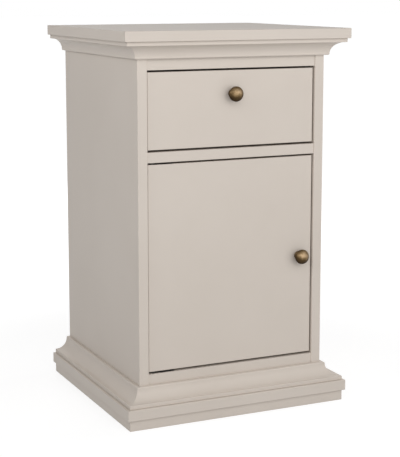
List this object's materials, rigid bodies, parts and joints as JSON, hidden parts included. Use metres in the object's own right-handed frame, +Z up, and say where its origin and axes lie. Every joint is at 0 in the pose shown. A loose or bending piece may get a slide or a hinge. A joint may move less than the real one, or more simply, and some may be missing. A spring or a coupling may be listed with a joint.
{
  "type": "nightstand",
  "caption": "Painted nightstand with a cove-moulded top and base, a drawer on roller runners over a cupboard with an inset pivot-hinged door, and turned brass knobs.",
  "frame": {"origin": "on the floor, under the centre of the top slab", "axes": "+X to the right seen from the front, +Y to the back, +Z up"},
  "size_m": [0.429, 0.399, 0.68],
  "materials": {
    "painted_board": "satin greige paint",
    "hardboard": "painted hardboard",
    "drawer_wood": "clear satin",
    "dowel_wood": "bare beech",
    "brass": "burnished, aged",
    "steel": "zinc plated",
    "dark_steel": "blackened",
    "runner_steel": "white powder coat",
    "plastic": "matte",
    "magnet": "dull ferrite"
  },
  "bodies": {
    "carcass": {"top_panel": "painted_board", "cornice_front": "painted_board", "cornice_left": "painted_board", "cornice_right": "painted_board", "side_panel_left": "painted_board", "side_panel_right": "painted_board", "top_rail": "painted_board", "divider_panel": "painted_board", "bottom_panel": "painted_board", "base_rail": "painted_board", "rear_stretcher": "painted_board", "back_panel": "hardboard", "shelf": "painted_board", "base_moulding_front": "painted_board", "base_moulding_left": "painted_board", "base_moulding_right": "painted_board", "base_panel": "painted_board", "plinth_front": "painted_board", "plinth_left": "painted_board", "plinth_right": "painted_board", "plinth_back": "painted_board", "dowels": "dowel_wood", "base_screws": "steel", "shelf_pins": "steel", "cabinet_runner_left": "runner_steel", "cabinet_runner_right": "runner_steel", "front_axles": "steel", "hinge_plate_upper": "dark_steel", "hinge_plate_lower": "dark_steel", "hinge_pins": "dark_steel", "hinge_washers": "dark_steel", "catch_housing": "plastic", "catch_magnet": "magnet", "catch_pole_plates": "steel"},
    "drawer": {"drawer_front": "painted_board", "drawer_side_left": "drawer_wood", "drawer_side_right": "drawer_wood", "drawer_back": "drawer_wood", "drawer_bottom": "hardboard", "drawer_dowels": "dowel_wood", "drawer_knob": "brass", "drawer_knob_screw": "steel", "drawer_runner_left": "runner_steel", "drawer_runner_right": "runner_steel", "rear_axles": "steel"},
    "door": {"door_panel": "painted_board", "hinge_leaf_upper": "dark_steel", "hinge_leaf_lower": "dark_steel", "strike_plate": "steel", "door_knob": "brass", "door_knob_screw": "steel"},
    "front_rollers": {"front_rollers": "plastic"},
    "rear_rollers": {"rear_rollers": "plastic"}
  },
  "joints": [
    {"name": "drawer_slide", "type": "slide", "parent": "carcass", "child": "drawer", "axis": [0, -1, 0], "range_m": [0, 0.23]},
    {"name": "door_hinge", "type": "hinge", "parent": "carcass", "child": "door", "pos_m": [-0.1505, -0.154, 0.271], "axis": [0, 0, -1], "range_deg": [0, 105]},
    {"name": "front_roller_spin", "type": "hinge", "parent": "carcass", "child": "front_rollers", "pos_m": [0, -0.1295, 0.492], "axis": [1, 0, 0], "range_deg": [-10, 1700]},
    {"name": "rear_roller_spin", "type": "hinge", "parent": "drawer", "child": "rear_rollers", "pos_m": [0, 0.1485, 0.4914], "axis": [1, 0, 0], "range_deg": [-10, 1700]}
  ],
  "couplings": [
    {"joint": "front_roller_spin", "follows": "drawer_slide", "rad_per_m": 125},
    {"joint": "rear_roller_spin", "follows": "drawer_slide", "rad_per_m": 125}
  ]
}
